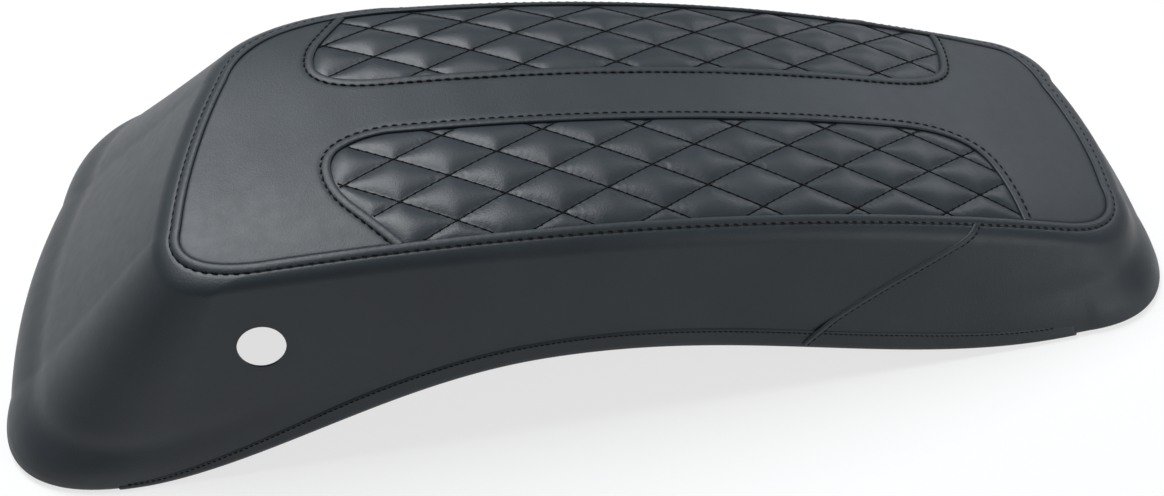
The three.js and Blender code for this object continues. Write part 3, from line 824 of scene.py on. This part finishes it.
def inflate(obj, held, rest):
    """Blows the vinyl up between its seams with a cloth simulation, in an enlarged copy."""
    scale = SIM_SCALE / MM
    mesh = obj.data
    count = len(mesh.vertices)
    mesh.vertices.foreach_set("co", (rest * MM * scale).ravel())
    group = obj.vertex_groups.new(name="held")
    group.add([int(i) for i in np.flatnonzero(held)], 1.0, "REPLACE")
    cloth = obj.modifiers.new("cloth", "CLOTH")
    settings = cloth.settings
    settings.vertex_group_mass = "held"
    settings.quality = 8
    settings.mass = 0.3
    settings.tension_stiffness = settings.compression_stiffness = 25
    settings.shear_stiffness = 12
    settings.bending_stiffness = 0.6
    settings.tension_damping = settings.compression_damping = settings.shear_damping = 12
    settings.bending_damping = 1
    settings.air_damping = 6
    settings.use_pressure = True
    settings.uniform_pressure_force = SIM_PRESSURE
    settings.shrink_min = SIM_GROWTH
    settings.effector_weights.gravity = 0
    cloth.collision_settings.use_collision = False
    cloth.collision_settings.use_self_collision = False
    cloth.point_cache.frame_start, cloth.point_cache.frame_end = 1, SIM_FRAMES
    scene = bpy.context.scene
    for number in range(1, SIM_FRAMES + 1):
        scene.frame_set(number)
    graph = bpy.context.evaluated_depsgraph_get()
    swollen = obj.evaluated_get(graph).to_mesh()
    moved = np.zeros(count * 3)
    swollen.vertices.foreach_get("co", moved)
    moved = moved.reshape(-1, 3) / (MM * scale)
    obj.evaluated_get(graph).to_mesh_clear()
    obj.modifiers.clear()
    obj.vertex_groups.clear()
    scene.frame_set(1)
    shift = moved - rest
    far = np.linalg.norm(shift, axis=1, keepdims=True)
    moved = rest + shift * np.minimum(1, SIM_CAP / np.maximum(far, 1e-9))
    mesh.vertices.foreach_set("co", ((moved - FOOTPRINT_MIDDLE) * MM).ravel())
    mesh.update()


# ---- Skirts -------------------------------------------------------------------------------------
def skirt_rows(count_shoulder, count_straight):
    """Row numbers v: 0 at the perimeter seam, 1 at the foot of the shoulder, 2 where the edge turns in."""
    shoulder = np.linspace(0, 1, count_shoulder + 1)
    straight = np.linspace(1, 2, count_straight + 1)[1:]
    return np.concatenate([shoulder, straight])


def skirt_point(u, v):
    """The cover's outer surface at u along the outline and row v."""
    end = reach(u, np.full_like(u, COVER_CLEAR + EDGE_ROUND))
    w = np.where(v <= 1, v, 1 + (v - 1) * (end - 1))
    return wall(u, w)


def below_seam(u, v):
    """How far row v of the shoulder lies outside the perimeter seam, square to it."""
    ahead = unit(skirt_point(u + 1e-3, 0 * v) - skirt_point(u - 1e-3, 0 * v))
    off = skirt_point(u, v) - skirt_point(u, 0 * v)
    off = off - ahead * np.sum(off * ahead, -1, keepdims=True)
    return np.linalg.norm(off, axis=-1)


def shoulder_share(u, distance):
    """The row v that lies a distance outside the perimeter seam."""
    low, high = np.zeros_like(u), np.ones_like(u)
    for _ in range(20):
        middle = (low + high) / 2
        short = below_seam(u, middle) < distance
        low, high = np.where(short, middle, low), np.where(short, high, middle)
    return (low + high) / 2


def slant_u(v, side):
    """Where row v meets the slanted seam on one side."""
    low = np.full_like(v, 0.0 if side < 0 else 4.0)
    high = low + 1
    for _ in range(26):
        middle = (low + high) / 2
        p = skirt_point(middle, v)
        behind = p[..., 0] > np.polyval(SLANT_FIT, p[..., 2])
        forward = behind if side < 0 else ~behind
        low = np.where(forward, middle, low)
        high = np.where(forward, high, middle)
    return (low + high) / 2


def skirt_normal(u, v):
    step = 2e-3
    along = skirt_point(u + step, v) - skirt_point(u - step, v)
    down = skirt_point(u, np.minimum(v + step, 2)) - skirt_point(u, np.maximum(v - step, 0))
    normal = unit(np.cross(down, along))
    facing = np.sum(normal * (level_out(u) + 0.4 * UP), -1, keepdims=True)
    return normal * np.sign(facing)


def skirt_relief(p, u, v):
    """Height of the skirt's vinyl over its smooth form."""
    down = below_seam(u, v)
    relief = -0.4 * np.exp(-(((down - PERIMETER_STITCH) / 0.9) ** 2))
    relief -= 0.7 * (1 - smooth(0, 1.2, down))
    relief += 0.12 * wobble(p, 95, 2.0) * smooth(0.5, 1.2, v)
    above = p[..., 2] - arch_height(p[..., 0])
    corner = corner_share(u)
    relief += corner * 1.3 * np.exp(-(((above - 9) / 7) ** 2))
    relief -= corner * 0.8 * np.exp(-(((above - 23) / 5) ** 2))
    return relief


def corner_share(u):
    """1 round the front and rear corners of the rim, falling to 0 along the long sides."""
    u = np.mod(u, CURVES)
    front = smooth(0.8, 1.1, u) * (1 - smooth(3.9, 4.2, u))
    rear = np.maximum(smooth(4.85, 5.2, u), 1 - smooth(-0.1, 0.2, u))
    return np.maximum(front, rear)


def skirt(name, node, start, end):
    """One skirt. start and end hold a side, its slanted seam's u, and the u from which columns lean to it."""
    v = skirt_rows(22, 34)
    u_line = np.append(spaced(start[1], end[1], 2.6), end[1])
    grid_u, grid_v = np.meshgrid(u_line, v, indexing="ij")
    for side, at, upright in (start, end):
        limit = slant_u(v, side) + (CURVES if at > CURVES else 0)
        share = (grid_u - upright) / (at - upright)
        grid_u = np.where(share > 0, upright + share * (limit - upright), grid_u)
    p = skirt_point(grid_u, grid_v)
    normal = skirt_normal(grid_u, grid_v)
    p = p + normal * skirt_relief(p, grid_u, grid_v)[..., None]
    turned = []
    out = level_out(grid_u[:, -1])
    for angle in np.radians([30, 60, 90]):
        inward, down = 1 - math.cos(angle), math.sin(angle)
        turned.append(p[:, -1] - out * EDGE_ROUND * inward - UP * EDGE_ROUND * down)
    turned.append(turned[-1] - out)
    p = np.concatenate([p, np.stack(turned, 1)], 1)
    obj = band(name, p, VINYL, COVER, node)
    if node == "front_skirt":
        cut_lock_hole(obj, LOCK_RADIUS, 60)


def cut_lock_hole(obj, radius, sharp):
    bpy.ops.mesh.primitive_cylinder_add(vertices=96, radius=radius * MM, depth=CUTTER_LENGTH * MM)
    cutter = bpy.context.object
    cutter.location = (LOCK_HOLE - FOOTPRINT_MIDDLE) * MM
    cutter.rotation_euler = (math.pi / 2 - math.radians(LOCK_TILT), 0, 0)
    bpy.context.view_layer.update()
    hole = obj.modifiers.new("hole", "BOOLEAN")
    hole.operation = "DIFFERENCE"
    hole.object = cutter
    hole.solver = "EXACT"
    bake_modifiers(obj)
    bpy.data.objects.remove(cutter)
    finish_shading(obj, sharp)


def skirts():
    outboard, inboard = (float(slant_u(np.array([1.0]), side)[0]) for side in (-1, 1))
    skirt("front_skirt_vinyl", "front_skirt", (-1, outboard, 1.0), (1, inboard, 4.0))
    skirt("rear_skirt_vinyl", "rear_skirt", (1, inboard, 5.0), (-1, CURVES + outboard, 8.0))


# ---- Welts and top-stitching --------------------------------------------------------------------
ROLL = [
    (-2.2, -0.9), (-2.35, 0.15), (-2.15, 0.75), (-1.6, 1.15), (-0.7, 1.32), (0.3, 1.22), (1.2, 0.9),
    (2.0, 0.35), (2.6, -0.25), (2.6, -0.9),
]


ROLL_TOP = 1.32
BUMP_HEIGHT = 0.4  # of a roll's own height, where it crosses the end of another
BUMP_OFFSETS = (-2.5, 3.0)


def roll(line, width, height, mirrored, bumps=()):
    """A rolled seam's section along a line: steep on one side, falling gently to the stitches."""
    run = run_along(line)
    across = -1 if mirrored else 1
    profile = [(across * (x * width / WELT_WIDTH), y * height / ROLL_TOP) for x, y in ROLL]
    p = np.column_stack([run, 0.4 * run, 0 * run])
    swell = 1 + 0.05 * np.sin(run / STITCH * 2 * math.pi) + 0.06 * wobble(p, 37)
    for at in bumps:
        swell += BUMP_HEIGHT * np.exp(-(((run - at) / 2.0) ** 2))
    section = np.array(profile, float)[None].repeat(len(line), 0)
    section[..., 1] = np.where(section[..., 1] > 0, section[..., 1] * swell[:, None], section[..., 1])
    return section


def points_away(line, normal, direction, closed):
    """Whether a section's positive side, on the whole, points away from a direction."""
    across = np.cross(directions(line, closed), normal)
    return np.sum(across @ direction) <= 0


def perimeter():
    u = spaced(0, CURVES, 1.4)

    def frame_at(distance):
        level = shoulder_share(u, distance)
        p, n = skirt_point(u, level), skirt_normal(u, level)
        line, normal = resampled(p, 1.4, True, n)
        return line, unit(normal)

    line, normal = frame_at(PERIMETER_WELT)
    row = np.array([SLANT_START])
    slants = [skirt_point(slant_u(row, side), row)[0] for side in (-1, 1)]
    near = [run_along(line)[np.argmin(np.linalg.norm(line - p, axis=1))] for p in slants]
    bumps = [at + offset for at in near for offset in BUMP_OFFSETS]
    section = roll(line, WELT_WIDTH, WELT_HEIGHT, points_away(line, normal, -UP, True), bumps)
    sweep("perimeter_roll", "perimeter_welt", line, normal, section, True)
    line, normal = frame_at(PERIMETER_STITCH)
    stitches("perimeter_stitching", "perimeter_thread", line - normal * SEATED, normal, True)


def on_plain(plan):
    """Where a roll or a stitch sits over a plan point, and the way it faces."""
    return on_top(plan, SEATED), top_normal(plan[:, 0], plan[:, 1])


def inlay_seams(side):
    name = SIDE_NAME[side]
    path = INLAY[side]
    path = path[inside_distance(path) > 0.1]
    line, normal = on_plain(shifted(path, -side * (WELT_WIDTH / 2 + 0.2)))
    section = roll(line, WELT_WIDTH, WELT_HEIGHT, side < 0)
    sweep(name + "_inlay_roll", name + "_inlay_welt", line, normal, section)
    plan = shifted(path, -side * INLAY_STITCH)
    line, normal = on_plain(plan[inside_distance(plan) > 1.5])
    stitches(name + "_inlay_stitching", name + "_inlay_thread", line, normal)


def quilting(side):
    """The quilting stitches of one inlay, seam by seam."""
    points, faces, size = [], [], 0
    for line in quilt_lines(side):
        line = resampled(line, 0.9)
        line = line[in_inlay(line, side, 1.4)]
        if len(line) < 7:
            continue
        run_points, run_faces = thread_run(
            on_top(line, QUILT_SINK), top_normal(line[:, 0], line[:, 1]),
            pitch=QUILT_STITCH, radius=0.26, lift=0.25, length=1.0, knot=1.2, dive=0.3,
        )
        faces += [tuple(v + size for v in f) for f in run_faces]
        points.append(run_points)
        size += len(run_points)
    make(SIDE_NAME[side] + "_quilting", np.vstack(points), faces, THREAD, (), 80)


def slant_seam(side):
    """The slanted seam's rolled edge and its stitches, from the perimeter to the foot of the skirt."""
    name = SIDE_NAME[side]
    v = np.linspace(SLANT_START, 1.99, 240)

    def moved(back):
        u = slant_u(v, side)
        p = skirt_point(u, v)
        ahead = unit(np.gradient(p, axis=0))
        normal = skirt_normal(u, v)
        across = np.cross(ahead, normal)
        across *= np.sign(across[:, :1])
        over_hem = SLANT_OVER_HEM * smooth(1.7, 1.85, v)[:, None]
        line, normal = resampled(p + across * back + normal * over_hem, 1.2, False, normal)
        return line, unit(normal)

    line, normal = moved(SLANT_WIDTH / 2 + 0.1)
    rearward = np.array([1.0, 0.0, 0.0])
    section = roll(line, SLANT_WIDTH, SLANT_HEIGHT, points_away(line, normal, rearward, False))
    sweep(name + "_slant_roll", name + "_slant_welt", line, normal, section)
    line, normal = moved(SLANT_WIDTH + 1.1)
    fine = {"pitch": 3.4, "radius": 0.26, "lift": -0.1}
    stitches(name + "_slant_stitching", name + "_slant_thread", line, normal, **fine)


def hem(side):
    """The turned-up edge along one long side: a flush band with a fine line of stitches."""
    name = SIDE_NAME[side]
    whole = np.linspace(*HEM_SPAN[side], 260)
    forward = np.linspace(-1, 1, 260) * -side  # from the rear end of the hem to its front end
    narrowing = (1 - smooth(0.45, 1.0, forward)) * (1 - 0.3 * smooth(0.6, 1.0, -forward))
    rise = 1 + (HEM_WIDTH - 1) * narrowing
    normal = skirt_normal(whole, np.full_like(whole, 1.9))
    rows = []
    for part in np.linspace(1, 0, 7):
        lift = COVER_CLEAR + EDGE_ROUND + rise * part - HEM_DROP * (1 - part)
        height = 0.45 + 0.5 * (1 - part) if part < 1 else -0.3
        rows.append(wall(whole, reach(whole, lift)) + normal * height)
    edge, out = rows[-1], level_out(whole)
    radius = EDGE_ROUND + 0.3
    for angle in np.radians([35, 65, 90]):
        inward, down = 1 - math.cos(angle), math.sin(angle)
        rows.append(edge - out * radius * inward - UP * (radius - 0.2) * down)
    rows.append(rows[-1] - out * 0.9)
    p = np.stack(rows, 1)
    obj = band(name + "_hem_band", p, HEM_THICK, COVER, name + "_hem")
    lift = COVER_CLEAR + EDGE_ROUND + np.maximum(rise - 2.0, 0.4)
    line = wall(whole, reach(whole, lift)) + normal * 0.6
    line, normal = resampled(line[6:-6], 1.0, False, normal[6:-6])
    fine = {"pitch": 2.8, "radius": 0.28}
    stitches(name + "_hem_stitching", name + "_hem_thread", line, unit(normal), **fine)


# ---- Padding and tape, under the cover ----------------------------------------------------------
def layer(name, node, plan, faces, place, material):
    """A sheet or pad under the top; place holds its depth and thickness."""
    obj = make(name, on_top(plan, place[0]), faces, material, [node], 60)
    thicken(obj, place[1])
    return obj


def padding():
    field = dotted(SEAM_LOOP.min(0), SEAM_LOOP.max(0), 5.0)
    inner = rings(SEAM_LOOP, (LAYER_INSET,), True, 4.0, -1)
    edges = [(shifted(INLAY[side], -side * GAP), False) for side in (-1, 1)]

    def plain(middle):
        clear = inside_distance(middle) > LAYER_INSET
        return clear & (inlay_distance(middle, -1) > GAP) & (inlay_distance(middle, 1) > GAP)

    plan, faces = triangulated(field, [(inner, True), *edges], plain)
    foam = layer("centre_foam_pad", "centre_foam", plan, faces, CENTRE_FOAM, FOAM)
    for side in (-1, 1):
        name = SIDE_NAME[side]

        def quilted(middle):
            return (inlay_distance(middle, side) < -GAP) & (inside_distance(middle) > LAYER_INSET)

        edge = (shifted(INLAY[side], side * GAP), False)
        plan, faces = triangulated(field, [(inner, True), edge], quilted)
        foam = layer(name + "_foam_pad", name + "_quilt_foam", plan, faces, QUILT_FOAM, FOAM)
        node = name + "_quilt_backing"
        cloth = layer(name + "_backing_cloth", node, plan, faces, BACKING, CLOTH)


def bond_tapes():
    deep = (TAPE_DEPTH, TAPE_DEPTH)
    for end, span in TAPE_SPAN.items():
        u = spaced(*span, 3.0)
        rows = [wall(u, reach(u, lift, *deep), *deep) for lift in np.linspace(TAPE_TOP, TAPE_FOOT, 5)]
        obj = band(end + "_tape", np.stack(rows, 1), TAPE_THICK, TAPE, end + "_bond_tape")


# ---- Shell and seal -----------------------------------------------------------------------------
def shell_skin(u, depth):
    """One skin of the hollow lid: rings from its middle out over the top and down the wall to the lip."""
    deep_top, deep_side = SHELL_TOP + depth, SHELL_SIDE + depth
    seam = outline_at(SEAM, u)
    rows = []
    for share in np.linspace(0, 1, 15)[1:]:
        plan = HEART + (seam - HEART) * share
        rows.append(np.column_stack([plan, top_height(plan[:, 0], plan[:, 1]) - deep_top]))
    for w in (0.15, 0.35, 0.55, 0.75, 1.0):
        rows.append(wall(u, np.full_like(u, w), deep_top, deep_side))
    end = reach(u, FLANGE_THICK if depth > 0 else 0.0, deep_top, deep_side)
    for share in (0.2, 0.4, 0.6, 0.8, 1.0):
        rows.append(wall(u, 1 + (end - 1) * share, deep_top, deep_side))
    inward = FLANGE + (0 if depth > 0 else SHELL_WALL)
    lip = rows[-1].copy()
    lip[:, :2] -= outward(u) * inward
    rows.append(lip)
    return np.stack(rows, 1)


def shell():
    u = spaced(0, CURVES, 4.0)
    outer, inner = shell_skin(u, 0.0), shell_skin(u, SHELL_WALL)
    count, rows = outer.shape[:2]
    points = [*outer.reshape(-1, 3), *inner.reshape(-1, 3)]
    size = count * rows
    faces = [tuple(f) for f in grid_faces(count, rows, True)]
    faces += [tuple(v + size for v in f[::-1]) for f in faces]
    heart = [np.array([*HEART, top_height(*HEART) - SHELL_TOP - d]) for d in (0, SHELL_WALL)]
    points += heart
    for i in range(count):
        k = (i + 1) % count
        faces.append((i * rows, k * rows, 2 * size))
        faces.append((size + k * rows, size + i * rows, 2 * size + 1))
        a, b = i * rows + rows - 1, k * rows + rows - 1
        faces.append((a, a + size, b + size, b))
    points = np.array(points)
    faces = oriented(points, faces)
    obj = make("lid_shell_moulded", points, faces, PLASTIC, ["lid_shell"], 35)
    cut_lock_hole(obj, LOCK_SHELL_RADIUS, 35)


def seal():
    u = spaced(0, CURVES, 4.0)
    deep = (SHELL_TOP + SHELL_WALL, SHELL_SIDE + SHELL_WALL + 2 * GAP)
    low = wall(u, reach(u, FLANGE_THICK + 2 * GAP, *deep), *deep)
    high = wall(u, reach(u, FLANGE_THICK + 2 * GAP + SEAL_HEIGHT, *deep), *deep)
    section = [  # distance in from the wall, and share of the height
        (GAP, 0), (SEAL_WIDTH - 0.8, 0), (SEAL_WIDTH, 0.15), (SEAL_WIDTH, 0.75),
        (SEAL_WIDTH - 1.4, 1), (GAP + 1.2, 1), (GAP, 0.85),
    ]
    out = level_out(u)
    p = np.stack([low + (high - low) * share - out * inward for inward, share in section], 1)
    faces = oriented(p.reshape(-1, 3), tube_faces(len(u), len(section), True))
    make("rim_seal_strip", p, faces, RUBBER, ["rim_seal"], 40)


camera()
studio()
shell()
seal()
top_panel()
skirts()
perimeter()
for side in (-1, 1):
    quilt_face(side)
    inlay_seams(side)
    slant_seam(side)
    hem(side)
    quilting(side)
padding()
bond_tapes()
bpy.context.view_layer.update()
